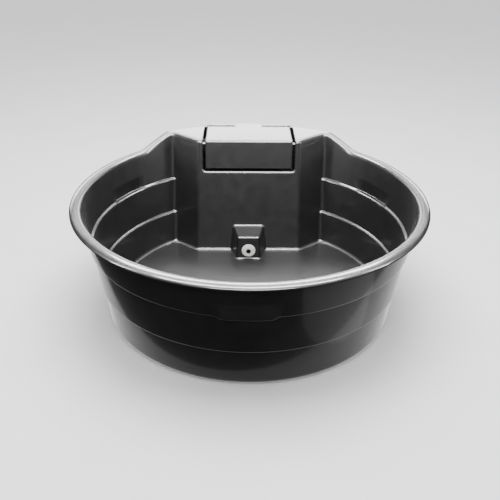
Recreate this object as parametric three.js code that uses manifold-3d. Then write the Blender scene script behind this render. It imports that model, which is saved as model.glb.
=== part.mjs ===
// A round drinking trough for livestock, about 1.8 m across, moulded in one skin of polyethylene.
// A raised pod at the back holds a float valve under a hinged lid, and a block at the pod's foot
// holds the drain. Millimetres, +Z up, the origin on the ground under the centre of the tub;
// the pod is on the +Y side.
import * as THREE from "three";
import { ConvexGeometry } from "three/addons/geometries/ConvexGeometry.js";
import { mergeVertices } from "three/addons/utils/BufferGeometryUtils.js";
import Module from "manifold-3d";

const wasm = await Module();
wasm.setup();

// ---- Driving dimensions -------------------------------------------------------------------
const WALL = 8; // the moulded skin
const GAP = 0.3; // between pieces that touch
const AROUND = 96; // facets of the tub

// The tub: radii and heights of its outer skin, which steps out twice on the way up.
const FLOOR_TOP = 20;
const FLOOR_SKIN = 10;
const FOOT_RADIUS = 740;
const FOOT_WIDTH = 45;
const STEP_HEIGHTS = [204, 406];
const STEP_RADII = [783, 815];
const STEP_LEDGE = 14;
const BASE_RADIUS = 750;
const WALL_TOP_RADIUS = 841;
const RIM_RADIUS = 892;
const RIM_TOP = 610;
const RIM_DROP = 19;

// The pod: its front leans back, its sides splay, and its top stands above the rim.
const POD_TOP = 680;
const POD_FRONT = { low: 475, high: 583 };
const POD_HALF_WIDTH = { low: 309, high: 293 };
const POD_SPLAY = THREE.MathUtils.degToRad(39);
const POD_REACH = 700;
const RAMP_FROM = THREE.MathUtils.degToRad(34);
const RAMP_TO = THREE.MathUtils.degToRad(45.5);
const RAMP_FLARE = 9;

// The valve chamber in the top of the pod, open to the front and the top.
const CHAMBER_HALF_WIDTH = 268;
const CHAMBER_BACK = 835;
const CHAMBER_FLOOR = 500;
const LID_REST = { from: 620, to: 650, bottom: 600, reach: 20 };
// Planes that lie clear of the pod's front, back and top.
const CLEAR = { front: 300, back: 950, top: 800 };

// The stacking lugs, on the upper band just above the upper step.
const LUG_ANGLES = [28.6, 148.6, 268.6].map(THREE.MathUtils.degToRad);
const LUG_HALF_ANGLE = THREE.MathUtils.degToRad(7.5);
const LUG_FLARE = THREE.MathUtils.degToRad(3.2);
const LUG_TOP = 478;
const LUG_BOTTOM = 401;
const LUG_STAND_OUT = 14;

// The drain block on the floor against the pod, and the drain's fittings.
const BLOCK_FRONT = 364;
const BLOCK = { frontLow: 67, frontHigh: 62.5, backLow: 104, backHigh: 87.5, top: 163, backTop: 171 };
const DRAIN_Z = 78;
const BUSH_RADIUS = 33;
const BUSH_BORE = 28.4;
const BUSH_FLANGE = { radius: 40, thickness: 5 };
const BUSH_LENGTH = 26;
const GASKET = 3;
const SEAL = 2.5;
const PLUG_FLANGE = { radius: 32, thickness: 6 };
const PLUG_RADIUS = 28;
const PLUG_SHANK = 30;
const PLUG_SOCKET = { flats: 24, depth: 30 };

// The lid and its hinge.
const LID_HALF_WIDTH = 255;
const LID_BACK = 826;
const LID_BOTTOM = 519;
const LID_SKIN = 5;
const LID_SKIRT = 35;
const LID_OPEN_FROM = 590;
const HINGE = { y: 866, z: 657 };
const PIN_RADIUS = 5;
const PIN_HALF_LENGTH = 95;
const KNUCKLE_RADIUS = 11;
const TONGUE_HALF_WIDTH = 76;
const NOTCH_HALF_WIDTH = 80;
const NOTCH_FLOOR = 640;
const BACK_LIP = { from: 841, to: 859, inner: 84, outer: 262, height: 6 };
const CLIP = { radius: 10, thickness: 1.5 };

// The float valve: a piston in a barrel along X, worked by an arm that turns about Y.
const VALVE = { y: 735, z: 618 };
const TAIL_RADIUS = 13.2;
const TAIL_END = -335;
const INLET_RADIUS = 8;
const SHOULDER = { from: -250, to: -238, radius: 21 };
const BARREL = { to: -129, radius: 17, bore: 10.3, boreFrom: -205 };
const SPOUT = { x: -197, radius: 12, bore: 8, bottom: 556 };
const SEAT = { from: -226, to: -203, radius: 7.8, bore: 4.5 };
const NUT_FLATS = 36;
const NUT_THICK = 9;
const WASHER = { radius: 20, thickness: 3 };
const PIVOT = { x: -150, z: 594 };
const PIVOT_PIN = { radius: 2.5, halfLength: 15 };
const EAR = { inner: 5, outer: 10, halfWidth: 9, drop: 9 };
const CAP = { from: -138, to: -121, radius: 20 };
const PISTON = { length: 55, radius: 9.8 };
const PISTON_WASHER = { radius: 7.5, thickness: 3.5, recess: 2.7 };
const ARM_SWING = THREE.MathUtils.degToRad(13);
const FINGER = { tip: 3.5, shank: 2.2, halfWidth: 3.2 };
const ROD_RADIUS = 4;
const ROD_DROP = 8;
const FLOAT = { distance: 270, radius: 48 };
const FLOAT_BOSS = { radius: 10, from: 220 };

// ---- Materials ----------------------------------------------------------------------------
const material = (color, roughness, metalness = 0) =>
  new THREE.MeshStandardMaterial({ color, roughness, metalness });
const MATERIALS = {
  polyethylene: material(0x0c0c0d, 0.28),
  whiteNylon: material(0xe8e7e2, 0.4),
  rubber: material(0x18181a, 0.8),
  blackNylon: material(0x161617, 0.45),
  brass: material(0xb08d45, 0.32, 1),
  steel: material(0xb8babd, 0.3, 1),
  orangePlastic: material(0xd9541a, 0.35),
};

// ---- Solids -------------------------------------------------------------------------------
// A closed geometry as a manifold-3d solid, turned right side out.
function solid(geometry) {
  const bare = geometry.clone();
  bare.deleteAttribute("normal");
  bare.deleteAttribute("uv");
  const merged = mergeVertices(bare, 1e-3);
  const triVerts = new Uint32Array(merged.index.array);
  const vertProperties = new Float32Array(merged.attributes.position.array);
  const made = new wasm.Manifold(new wasm.Mesh({ numProp: 3, vertProperties, triVerts }));
  if (made.volume() > 0) return made;
  for (let i = 0; i < triVerts.length; i += 3) {
    [triVerts[i + 1], triVerts[i + 2]] = [triVerts[i + 2], triVerts[i + 1]];
  }
  return new wasm.Manifold(new wasm.Mesh({ numProp: 3, vertProperties, triVerts }));
}

// A solid back as a geometry.
function geometryOf(made) {
  const mesh = made.getMesh();
  return new THREE.BufferGeometry()
    .setAttribute("position", new THREE.BufferAttribute(mesh.vertProperties, 3))
    .setIndex(new THREE.BufferAttribute(mesh.triVerts, 1));
}

const cut = (made, ...tools) => tools.reduce((left, tool) => left.subtract(tool), made);
const join = (made, ...others) => others.reduce((whole, other) => whole.add(other), made);

function box(x0, x1, y0, y1, z0, z1) {
  const geometry = new THREE.BoxGeometry(x1 - x0, y1 - y0, z1 - z0);
  return solid(geometry.translate((x0 + x1) / 2, (y0 + y1) / 2, (z0 + z1) / 2));
}

// A cylinder along X, Y or Z, from one end to the other, with its axis through (u, v) in the
// other two coordinates, in X, Y, Z order.
function rod(axis, radius, from, to, u, v, facets = 32) {
  const geometry = new THREE.CylinderGeometry(radius, radius, to - from, facets);
  const middle = (from + to) / 2;
  if (axis === "x") return solid(geometry.rotateZ(Math.PI / 2).translate(middle, u, v));
  if (axis === "y") return solid(geometry.translate(u, middle, v));
  return solid(geometry.rotateX(Math.PI / 2).translate(u, v, middle));
}

const tube = (axis, radius, bore, from, to, u, v, facets = 32) =>
  rod(axis, radius, from, to, u, v, facets).subtract(rod(axis, bore, from - 1, to + 1, u, v, facets));

const hexagon = (axis, flats, from, to, u, v) =>
  rod(axis, flats / Math.sqrt(3), from, to, u, v, 6);

const hull = (points) => solid(new ConvexGeometry(points.map((p) => new THREE.Vector3(...p))));

// A solid of revolution about Z from a profile of [radius, height] points.
function latheGeometry(profile) {
  const points = profile.map(([r, z]) => new THREE.Vector2(r, z));
  return new THREE.LatheGeometry(points, AROUND).rotateX(Math.PI / 2);
}
const lathe = (profile) => solid(latheGeometry(profile));

// The angle of a point away from the +Y axis, towards either side.
const awayFromBack = (x, y) => Math.abs(Math.atan2(x, y));

// ---- The trough's moulding ------------------------------------------------------------------
// The outer skin's profile from the foot up to the rim's underside.
function outerWall() {
  const [step1, step2] = STEP_HEIGHTS;
  const [radius1, radius2] = STEP_RADII;
  return [
    [FOOT_RADIUS, 0],
    [BASE_RADIUS, 12],
    [radius1 - STEP_LEDGE, step1 - 5],
    [radius1, step1 + 2],
    [radius2 - STEP_LEDGE, step2 - 5],
    [radius2, step2 + 2],
  ];
}

// The inner skin's profile from the rim down to the floor, one wall inside the outer skin.
function innerWall() {
  const inside = outerWall().slice(2).map(([r, z]) => [r - WALL, z + WALL]).reverse();
  return [...inside, [BASE_RADIUS - WALL, FLOOR_TOP + 12], [BASE_RADIUS - WALL - 10, FLOOR_TOP]];
}

// The rim's profile: under the flange, round the lip, over the top and in.
function rim() {
  const lip = RIM_TOP - RIM_DROP;
  const under = RIM_TOP - WALL;
  return [
    [WALL_TOP_RADIUS, lip - 5],
    [WALL_TOP_RADIUS + 4, under],
    [RIM_RADIUS - WALL, under],
    [RIM_RADIUS - WALL, lip],
    [RIM_RADIUS, lip],
    [RIM_RADIUS, under],
    [RIM_RADIUS - 6, RIM_TOP - 1.5],
    [RIM_RADIUS - 14, RIM_TOP],
    [WALL_TOP_RADIUS + 6, RIM_TOP],
    [WALL_TOP_RADIUS - 2, RIM_TOP - 3],
    [WALL_TOP_RADIUS - WALL, RIM_TOP - 12],
  ];
}

// How far up the ramp the rim is at an angle from the back: 0 on the level rim, 1 at the pod.
const ramp = (angle) =>
  THREE.MathUtils.clamp((RAMP_TO - angle) / (RAMP_TO - RAMP_FROM), 0, 1);

// The round tub in one skin, with its rim lifted up the ramps to the pod's height.
function roundShell() {
  const floor = [[0, FLOOR_TOP], [0, 0]];
  const geometry = latheGeometry([...outerWall(), ...rim(), ...innerWall(), ...floor, [FOOT_RADIUS, 0]]);
  const place = geometry.attributes.position;
  for (let i = 0; i < place.count; i++) {
    const [x, y, z] = [place.getX(i), place.getY(i), place.getZ(i)];
    if (z < RIM_TOP - RIM_DROP - 6) continue;
    const share = ramp(awayFromBack(x, y));
    const radius = Math.hypot(x, y);
    const flare = radius < WALL_TOP_RADIUS + 10 ? 1 + (RAMP_FLARE * share) / radius : 1;
    place.setXYZ(i, x * flare, y * flare, z + (POD_TOP - RIM_TOP) * share);
  }
  return solid(geometry);
}

// A foot is left round the edge of the floor's underside, and a shallow recess inside it.
function footRecess() {
  const depth = FLOOR_TOP - FLOOR_SKIN;
  const round = rod("z", FOOT_RADIUS - FOOT_WIDTH, -1, depth, 0, 0, AROUND);
  return round.subtract(podPrism(-FOOT_WIDTH, -2, depth + 1));
}

// Where the pod's front and its half width are at a height.
function podAt(z) {
  const share = (z - FLOOR_TOP) / (POD_TOP - FLOOR_TOP);
  return {
    front: THREE.MathUtils.lerp(POD_FRONT.low, POD_FRONT.high, share),
    halfWidth: THREE.MathUtils.lerp(POD_HALF_WIDTH.low, POD_HALF_WIDTH.high, share),
  };
}

// The space behind the pod's front and splayed sides, moved inwards by inset, between two heights.
function podPrism(inset, bottom, top) {
  const corners = [bottom, top].flatMap((z) => {
    const { front, halfWidth } = podAt(z);
    const x = halfWidth - inset * Math.tan(POD_SPLAY / 2);
    const y = front + inset;
    const [outX, outY] = [x + POD_REACH * Math.cos(POD_SPLAY), y + POD_REACH * Math.sin(POD_SPLAY)];
    return [-1, 1].flatMap((side) => [[side * x, y, z], [side * outX, outY, z], [side * outX, 1100, z]]);
  });
  return hull(corners);
}

// Everything inside the tub's outer skin and under the pod's flange.
function envelope() {
  const lip = POD_TOP - RIM_DROP;
  return lathe([
    [0, 0],
    ...outerWall(),
    [WALL_TOP_RADIUS, RIM_TOP - RIM_DROP - 5],
    [WALL_TOP_RADIUS + RAMP_FLARE, lip],
    [RIM_RADIUS, lip],
    [RIM_RADIUS, POD_TOP - WALL],
    [RIM_RADIUS - 6, POD_TOP - 1.5],
    [RIM_RADIUS - 14, POD_TOP],
    [0, POD_TOP],
  ]);
}

// The two cheeks that hold the hinge pin, between the chamber's back and the flange's lip.
const hingeCheeks = () =>
  [-1, 1].map((side) => {
    const [a, b] = [side * NOTCH_HALF_WIDTH, side * (NOTCH_HALF_WIDTH + WALL)];
    const [left, right] = [Math.min(a, b), Math.max(a, b)];
    return box(left, right, CHAMBER_BACK, RIM_RADIUS, NOTCH_FLOOR, POD_TOP);
  });

// The pod: front, sides and top in one skin, with the valve chamber let into its top.
function pod() {
  const outside = podPrism(0, 0, POD_TOP).intersect(envelope());
  const ring = tube("z", RIM_RADIUS + 1, RIM_RADIUS - WALL, POD_TOP - RIM_DROP, POD_TOP, 0, 0, AROUND);
  const { halfWidth, back } = { halfWidth: CHAMBER_HALF_WIDTH + WALL, back: CHAMBER_BACK + WALL };
  const chamber = box(-halfWidth, halfWidth, CLEAR.front, back, CHAMBER_FLOOR - WALL, POD_TOP);
  const alcove = cut(podPrism(WALL, -1, POD_TOP - WALL), ring, chamber, ...hingeCheeks());
  const inside = CHAMBER_HALF_WIDTH;
  const recess = box(-inside, inside, CLEAR.front, CHAMBER_BACK, CHAMBER_FLOOR, CLEAR.top);
  const across = NOTCH_HALF_WIDTH;
  const notch = box(-across, across, CHAMBER_BACK - 1, CLEAR.back, NOTCH_FLOOR, CLEAR.top);
  return cut(outside, alcove, recess, notch);
}

// Small brackets on the chamber's side walls, which the lid's skirts rest on.
const lidRests = () =>
  [-1, 1].map((side) => {
    const { from, to, bottom, reach } = LID_REST;
    const ends = [side * (CHAMBER_HALF_WIDTH - reach), side * (CHAMBER_HALF_WIDTH + 2)];
    const [a, b] = ends.sort((p, q) => p - q);
    return box(a, b, from, to, bottom, POD_TOP - LID_SKIRT - GAP);
  });

// Two low lips on the pod's top behind the lid, either side of its tongue.
const backLips = () =>
  [-1, 1].map((side) => {
    const [a, b] = [side * BACK_LIP.inner, side * BACK_LIP.outer].sort((p, q) => p - q);
    const [low, high] = [POD_TOP - 2, POD_TOP + BACK_LIP.height];
    const within = rod("z", RIM_RADIUS - WALL, low - 1, high + 1, 0, 0, AROUND);
    return box(a, b, BACK_LIP.from, BACK_LIP.to, low, high).intersect(within);
  });

// The drain block, or with inset its hollow, which opens into the pod and to the ground.
function drainBlock(inset) {
  const low = inset ? -1 : FLOOR_TOP - 5;
  const beyond = inset ? 40 : 4;
  const corner = (x, y, z) => [-1, 1].map((side) => [side * (x - inset), y, z]);
  return hull([
    ...corner(BLOCK.frontLow, BLOCK_FRONT + inset, low),
    ...corner(BLOCK.frontHigh, BLOCK_FRONT + inset, BLOCK.top - inset),
    ...corner(BLOCK.backLow, POD_FRONT.low + beyond, low),
    ...corner(BLOCK.backHigh, podAt(BLOCK.backTop).front + beyond, BLOCK.backTop - inset),
  ]);
}

// A stacking lug: a flat-faced wedge that stands out more and more towards its foot. With inset
// it is the hollow behind the wedge.
function lug(angle, inset) {
  const [bottom, top] = [LUG_BOTTOM + inset, LUG_TOP];
  const wallAt = (z) =>
    THREE.MathUtils.mapLinear(z, STEP_HEIGHTS[1], RIM_TOP, STEP_RADII[1], WALL_TOP_RADIUS + 3);
  const at = (radius, turn, z) => {
    const along = (radius - inset) / Math.cos(turn);
    return [along * Math.cos(angle + turn), along * Math.sin(angle + turn), z];
  };
  const face = wallAt(LUG_BOTTOM) + LUG_STAND_OUT;
  const turns = [-1, 1].map((side) => side * LUG_HALF_ANGLE);
  const flared = [-1, 1].map((side) => side * (LUG_HALF_ANGLE + LUG_FLARE));
  return hull([
    ...turns.flatMap((turn) => [at(face, turn, bottom), at(wallAt(top), turn, top)]),
    ...flared.flatMap((turn) => [at(wallAt(bottom) - 9, turn, bottom), at(wallAt(top) - 22, turn, top)]),
    ...turns.map((turn) => at(wallAt(bottom) - 22, turn, bottom)),
  ]);
}

function troughShell() {
  const wall = cut(roundShell(), footRecess(), podPrism(WALL, -1, CLEAR.top));
  const lugs = LUG_ANGLES.map((angle) => lug(angle, 0));
  const hollows = LUG_ANGLES.map((angle) => lug(angle, WALL));
  const fittings = [...lidRests(), ...backLips(), drainBlock(0)];
  const body = join(cut(join(wall, ...lugs), ...hollows), pod(), ...fittings);
  const pinHole = rod("x", PIN_RADIUS + GAP, -120, 120, HINGE.y, HINGE.z);
  const tailHole = rod("x", TAIL_RADIUS + 0.8, -300, -CHAMBER_HALF_WIDTH + 1, VALVE.y, VALVE.z);
  const drainHole = rod("y", BUSH_RADIUS + GAP, BLOCK_FRONT - 5, BLOCK_FRONT + WALL + 5, 0, DRAIN_Z, 48);
  return cut(body, drainBlock(WALL), pinHole, tailHole, drainHole);
}

// ---- The lid and its hinge ------------------------------------------------------------------
// A side view of the lid's L, from one depth under its outer face to another.
function lidOutline(from, to) {
  const lean = Math.atan2(POD_FRONT.high - POD_FRONT.low, POD_TOP - FLOOR_TOP);
  const frontAt = (z, depth) => podAt(z).front + depth / Math.cos(lean);
  const bottom = LID_BOTTOM;
  return new THREE.Shape([
    new THREE.Vector2(LID_BACK, POD_TOP - from),
    new THREE.Vector2(frontAt(POD_TOP - from, from), POD_TOP - from),
    new THREE.Vector2(frontAt(bottom, from), bottom),
    new THREE.Vector2(frontAt(bottom, to), bottom),
    new THREE.Vector2(frontAt(POD_TOP - to, to), POD_TOP - to),
    new THREE.Vector2(LID_BACK, POD_TOP - to),
  ]);
}

// An outline in Y and Z, extruded along X to a half width either side.
function acrossX(shape, halfWidth) {
  const geometry = new THREE.ExtrudeGeometry(shape, { depth: 2 * halfWidth, bevelEnabled: false });
  const turn = new THREE.Matrix4().makeBasis(
    new THREE.Vector3(0, 1, 0),
    new THREE.Vector3(0, 0, 1),
    new THREE.Vector3(1, 0, 0),
  );
  return solid(geometry.applyMatrix4(turn).translate(-halfWidth, 0, 0));
}

function valveLid() {
  const shell = acrossX(lidOutline(0, LID_SKIRT), LID_HALF_WIDTH);
  const hollow = acrossX(lidOutline(LID_SKIN, LID_SKIRT + 30), LID_HALF_WIDTH - LID_SKIN);
  const inside = LID_HALF_WIDTH - LID_SKIN;
  const below = box(-inside, inside, LID_OPEN_FROM, CLEAR.back, LID_BOTTOM - 20, POD_TOP - LID_SKIN);
  const tongue = box(-TONGUE_HALF_WIDTH, TONGUE_HALF_WIDTH, LID_BACK - 10, 900, POD_TOP - 6, POD_TOP)
    .intersect(rod("z", RIM_RADIUS, POD_TOP - 10, POD_TOP + 1, 0, 0, AROUND));
  const web = box(-TONGUE_HALF_WIDTH, TONGUE_HALF_WIDTH, HINGE.y - 6, HINGE.y + 6, HINGE.z, POD_TOP - 3);
  const knuckle = rod("x", KNUCKLE_RADIUS, -TONGUE_HALF_WIDTH, TONGUE_HALF_WIDTH, HINGE.y, HINGE.z);
  const bore = rod("x", PIN_RADIUS + GAP, -100, 100, HINGE.y, HINGE.z);
  return cut(join(cut(shell, hollow, below), tongue, web, knuckle), bore);
}

const hingePin = () => rod("x", PIN_RADIUS, -PIN_HALF_LENGTH, PIN_HALF_LENGTH, HINGE.y, HINGE.z);

function hingeClip(side) {
  const face = side * (NOTCH_HALF_WIDTH + WALL + GAP);
  const [from, to] = [face, face + side * CLIP.thickness].sort((a, b) => a - b);
  return tube("x", CLIP.radius, PIN_RADIUS + 0.15, from, to, HINGE.y, HINGE.z);
}

// ---- The drain ------------------------------------------------------------------------------
const BUSH_FACE = BLOCK_FRONT - GASKET - 2 * GAP;

const alongDrain = (radius, bore, from, to) => tube("y", radius, bore, from, to, 0, DRAIN_Z, 48);

const drainGasket = () =>
  alongDrain(BUSH_FLANGE.radius - 2, BUSH_RADIUS + GAP, BLOCK_FRONT - GAP - GASKET, BLOCK_FRONT - GAP);

function drainBush() {
  const flange = rod("y", BUSH_FLANGE.radius, BUSH_FACE - BUSH_FLANGE.thickness, BUSH_FACE, 0, DRAIN_Z, 48);
  const sleeve = rod("y", BUSH_RADIUS, BUSH_FACE - 1, BUSH_FACE + BUSH_LENGTH, 0, DRAIN_Z, 48);
  const bore = rod("y", BUSH_BORE, BUSH_FACE - 20, BUSH_FACE + BUSH_LENGTH + 1, 0, DRAIN_Z, 48);
  return cut(join(flange, sleeve), bore);
}

function drainNut() {
  const from = BLOCK_FRONT + WALL + GAP;
  const nut = hexagon("y", 82, from, from + 10, 0, DRAIN_Z);
  return cut(nut, rod("y", BUSH_RADIUS + GAP, from - 1, from + 11, 0, DRAIN_Z, 48));
}

const SEAL_BACK = BUSH_FACE - BUSH_FLANGE.thickness - GAP;
const PLUG_BACK = SEAL_BACK - SEAL - GAP;

const drainSeal = () =>
  alongDrain(PLUG_FLANGE.radius - 0.5, BUSH_BORE + GAP, SEAL_BACK - SEAL, SEAL_BACK);

function drainPlug() {
  const front = PLUG_BACK - PLUG_FLANGE.thickness;
  const flange = rod("y", PLUG_FLANGE.radius, front, PLUG_BACK, 0, DRAIN_Z, 48);
  const shank = rod("y", PLUG_RADIUS, PLUG_BACK - 1, PLUG_BACK + PLUG_SHANK, 0, DRAIN_Z, 48);
  const socket = hexagon("y", PLUG_SOCKET.flats, front - 1, front + PLUG_SOCKET.depth, 0, DRAIN_Z);
  return cut(join(flange, shank), socket);
}

// ---- The float valve ------------------------------------------------------------------------
const alongBarrel = (radius, from, to, facets) => rod("x", radius, from, to, VALVE.y, VALVE.z, facets);
const PISTON_TRAVEL = (VALVE.z - PIVOT.z) * ARM_SWING;

function valveBody() {
  const tail = alongBarrel(TAIL_RADIUS, TAIL_END, SHOULDER.from + 1);
  const shoulder = hexagon("x", 2 * SHOULDER.radius - 4, SHOULDER.from, SHOULDER.to, VALVE.y, VALVE.z);
  const barrel = alongBarrel(BARREL.radius, SHOULDER.to - 1, BARREL.to);
  const spout = rod("z", SPOUT.radius, SPOUT.bottom, VALVE.z, SPOUT.x, VALVE.y);
  const ears = [-1, 1].map((side) => {
    const [a, b] = [side * EAR.inner, side * EAR.outer].sort((p, q) => p - q);
    const [y0, y1] = [VALVE.y + a, VALVE.y + b];
    return box(PIVOT.x - EAR.halfWidth, PIVOT.x + EAR.halfWidth, y0, y1, PIVOT.z - EAR.drop, VALVE.z - 12);
  });
  const pinHole = rod("y", PIVOT_PIN.radius + GAP, VALVE.y - 20, VALVE.y + 20, PIVOT.x, PIVOT.z, 16);
  return cut(
    join(tail, shoulder, barrel, spout, ...ears),
    alongBarrel(INLET_RADIUS, TAIL_END - 1, BARREL.boreFrom + 1),
    alongBarrel(BARREL.bore, BARREL.boreFrom, BARREL.to + 1),
    rod("z", SPOUT.bore, SPOUT.bottom - 1, VALVE.z, SPOUT.x, VALVE.y),
    box(PIVOT.x - 10, PIVOT.x + 10, VALVE.y - 4.5, VALVE.y + 4.5, PIVOT.z - 20, VALVE.z),
    pinHole,
  );
}

const valveSeat = () => tube("x", SEAT.radius, SEAT.bore, SEAT.from, SEAT.to, VALVE.y, VALVE.z);

function barrelCap() {
  const cap = alongBarrel(CAP.radius, CAP.from, CAP.to, 24);
  const slot = box(CAP.from - 1, BARREL.to + GAP, VALVE.y - 6, VALVE.y + 6, VALVE.z - 30, VALVE.z - 10);
  return cut(cap, alongBarrel(BARREL.radius + GAP, CAP.from - 1, BARREL.to + GAP), slot);
}

function backNut(from) {
  const nut = hexagon("x", NUT_FLATS, from, from + NUT_THICK, VALVE.y, VALVE.z);
  return cut(nut, alongBarrel(TAIL_RADIUS + GAP, from - 1, from + NUT_THICK + 1));
}

const tailWasher = (from) =>
  tube("x", WASHER.radius, TAIL_RADIUS + GAP, from, from + WASHER.thickness, VALVE.y, VALVE.z);

function pivotPin() {
  const [from, to] = [VALVE.y - PIVOT_PIN.halfLength, VALVE.y + PIVOT_PIN.halfLength];
  return rod("y", PIVOT_PIN.radius, from, to, PIVOT.x, PIVOT.z, 16);
}

// The piston as it lies with the valve open, clear of the seat by its travel.
const PISTON_FACE = SEAT.to + GAP + PISTON_TRAVEL + PISTON_WASHER.thickness - PISTON_WASHER.recess;

function piston() {
  const slotAt = PIVOT.x + PISTON_TRAVEL / 2;
  return cut(
    alongBarrel(PISTON.radius, PISTON_FACE, PISTON_FACE + PISTON.length),
    alongBarrel(PISTON_WASHER.radius + GAP, PISTON_FACE - 1, PISTON_FACE + PISTON_WASHER.recess + GAP),
    box(slotAt - 4, slotAt + 4, VALVE.y - 4.5, VALVE.y + 4.5, VALVE.z - 15, VALVE.z + 5),
  );
}

function pistonWasher() {
  const to = PISTON_FACE + PISTON_WASHER.recess;
  return alongBarrel(PISTON_WASHER.radius, to - PISTON_WASHER.thickness, to);
}

// The arm, with its pivot at the origin and its rod level along +X.
function floatArm() {
  const lift = VALVE.z - PIVOT.z;
  const { tip, shank, halfWidth } = FINGER;
  return cut(
    join(
      rod("y", 7, -halfWidth - 1, halfWidth + 1, 0, 0, 24),
      box(-shank, shank, -halfWidth, halfWidth, 0, lift),
      rod("y", tip, -halfWidth, halfWidth, 0, lift, 24),
      box(-6, 14, -halfWidth - 1, halfWidth + 1, -ROD_DROP - 5, -1),
      rod("x", ROD_RADIUS, 10, FLOAT_BOSS.from + 20, 0, -ROD_DROP, 20),
    ),
    rod("y", PIVOT_PIN.radius + GAP, -10, 10, 0, 0, 16),
  );
}

// The float, the nut that locks it and the arm share the arm's frame.
function float() {
  const ball = new THREE.SphereGeometry(FLOAT.radius, 32, 20).translate(FLOAT.distance, 0, -ROD_DROP);
  const boss = rod("x", FLOAT_BOSS.radius, FLOAT_BOSS.from, FLOAT.distance - 20, 0, -ROD_DROP, 24);
  const socket = rod("x", ROD_RADIUS + GAP, FLOAT_BOSS.from - 1, FLOAT_BOSS.from + 21, 0, -ROD_DROP, 20);
  return cut(join(solid(ball), boss), socket);
}

function floatNut() {
  const to = FLOAT_BOSS.from - GAP;
  const nut = rod("x", 13 / Math.sqrt(3), to - 6, to, 0, -ROD_DROP, 6);
  return cut(nut, rod("x", ROD_RADIUS + 0.15, to - 8, to + 1, 0, -ROD_DROP, 20));
}

// ---- The assembly ---------------------------------------------------------------------------
const trough = new THREE.Group();

function place(group, name, made, look) {
  const mesh = new THREE.Mesh(geometryOf(made), look);
  mesh.name = name;
  group.add(mesh);
}

place(trough, "trough_shell", troughShell(), MATERIALS.polyethylene);

place(trough, "valve_lid", valveLid(), MATERIALS.polyethylene);
place(trough, "hinge_pin", hingePin(), MATERIALS.steel);
place(trough, "hinge_clip_left", hingeClip(-1), MATERIALS.steel);
place(trough, "hinge_clip_right", hingeClip(1), MATERIALS.steel);

place(trough, "drain_gasket", drainGasket(), MATERIALS.rubber);
place(trough, "drain_bush", drainBush(), MATERIALS.whiteNylon);
place(trough, "drain_bush_nut", drainNut(), MATERIALS.whiteNylon);
place(trough, "drain_plug_seal", drainSeal(), MATERIALS.rubber);
place(trough, "drain_plug", drainPlug(), MATERIALS.whiteNylon);

const INSIDE_FACE = -CHAMBER_HALF_WIDTH + GAP;
const OUTSIDE_FACE = -CHAMBER_HALF_WIDTH - WALL - GAP;
place(trough, "valve_body", valveBody(), MATERIALS.brass);
place(trough, "valve_seat", valveSeat(), MATERIALS.whiteNylon);
place(trough, "valve_barrel_cap", barrelCap(), MATERIALS.brass);
place(trough, "tail_washer_inner", tailWasher(INSIDE_FACE), MATERIALS.rubber);
place(trough, "tail_nut_inner", backNut(INSIDE_FACE + WASHER.thickness + GAP), MATERIALS.blackNylon);
place(trough, "tail_washer_outer", tailWasher(OUTSIDE_FACE - WASHER.thickness), MATERIALS.rubber);
const OUTER_NUT_FROM = OUTSIDE_FACE - WASHER.thickness - GAP - NUT_THICK;
place(trough, "tail_nut_outer", backNut(OUTER_NUT_FROM), MATERIALS.blackNylon);
place(trough, "arm_pivot_pin", pivotPin(), MATERIALS.steel);
place(trough, "piston", piston(), MATERIALS.brass);
place(trough, "piston_washer", pistonWasher(), MATERIALS.rubber);

// The arm hangs half its swing below level when the trough is empty.
const arm = new THREE.Group();
arm.position.set(PIVOT.x, VALVE.y, PIVOT.z);
arm.rotation.y = ARM_SWING / 2;
trough.add(arm);
place(arm, "float_arm", floatArm(), MATERIALS.brass);
place(arm, "float", float(), MATERIALS.orangePlastic);
place(arm, "float_lock_nut", floatNut(), MATERIALS.brass);

export default trough;
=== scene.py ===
import math

import bmesh
import bpy
import numpy as np
from mathutils import Matrix, Vector


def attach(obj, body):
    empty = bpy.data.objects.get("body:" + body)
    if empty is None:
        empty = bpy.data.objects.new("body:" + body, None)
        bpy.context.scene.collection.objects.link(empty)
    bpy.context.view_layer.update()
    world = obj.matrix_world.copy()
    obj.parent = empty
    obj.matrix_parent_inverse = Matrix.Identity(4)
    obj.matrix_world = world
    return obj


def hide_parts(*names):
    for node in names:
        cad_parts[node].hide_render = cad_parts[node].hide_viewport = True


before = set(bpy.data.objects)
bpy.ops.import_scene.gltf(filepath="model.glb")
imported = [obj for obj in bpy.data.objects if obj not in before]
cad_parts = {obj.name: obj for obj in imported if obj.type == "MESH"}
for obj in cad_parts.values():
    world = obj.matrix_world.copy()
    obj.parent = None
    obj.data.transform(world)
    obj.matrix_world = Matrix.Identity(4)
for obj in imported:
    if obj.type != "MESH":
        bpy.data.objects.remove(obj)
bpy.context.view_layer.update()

# All the dimensions below are millimetres; the meshes are scaled to metres when they are made.
MM = 0.001

# ---- The trough's dimensions ----
WALL = 8.0
FLOOR = 20.0
FLOOR_FILLET = 20.0
FILLET_STEPS = 6
FLOOR_EDGE = 740.7  # the radius at which the wall would meet the floor
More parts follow.
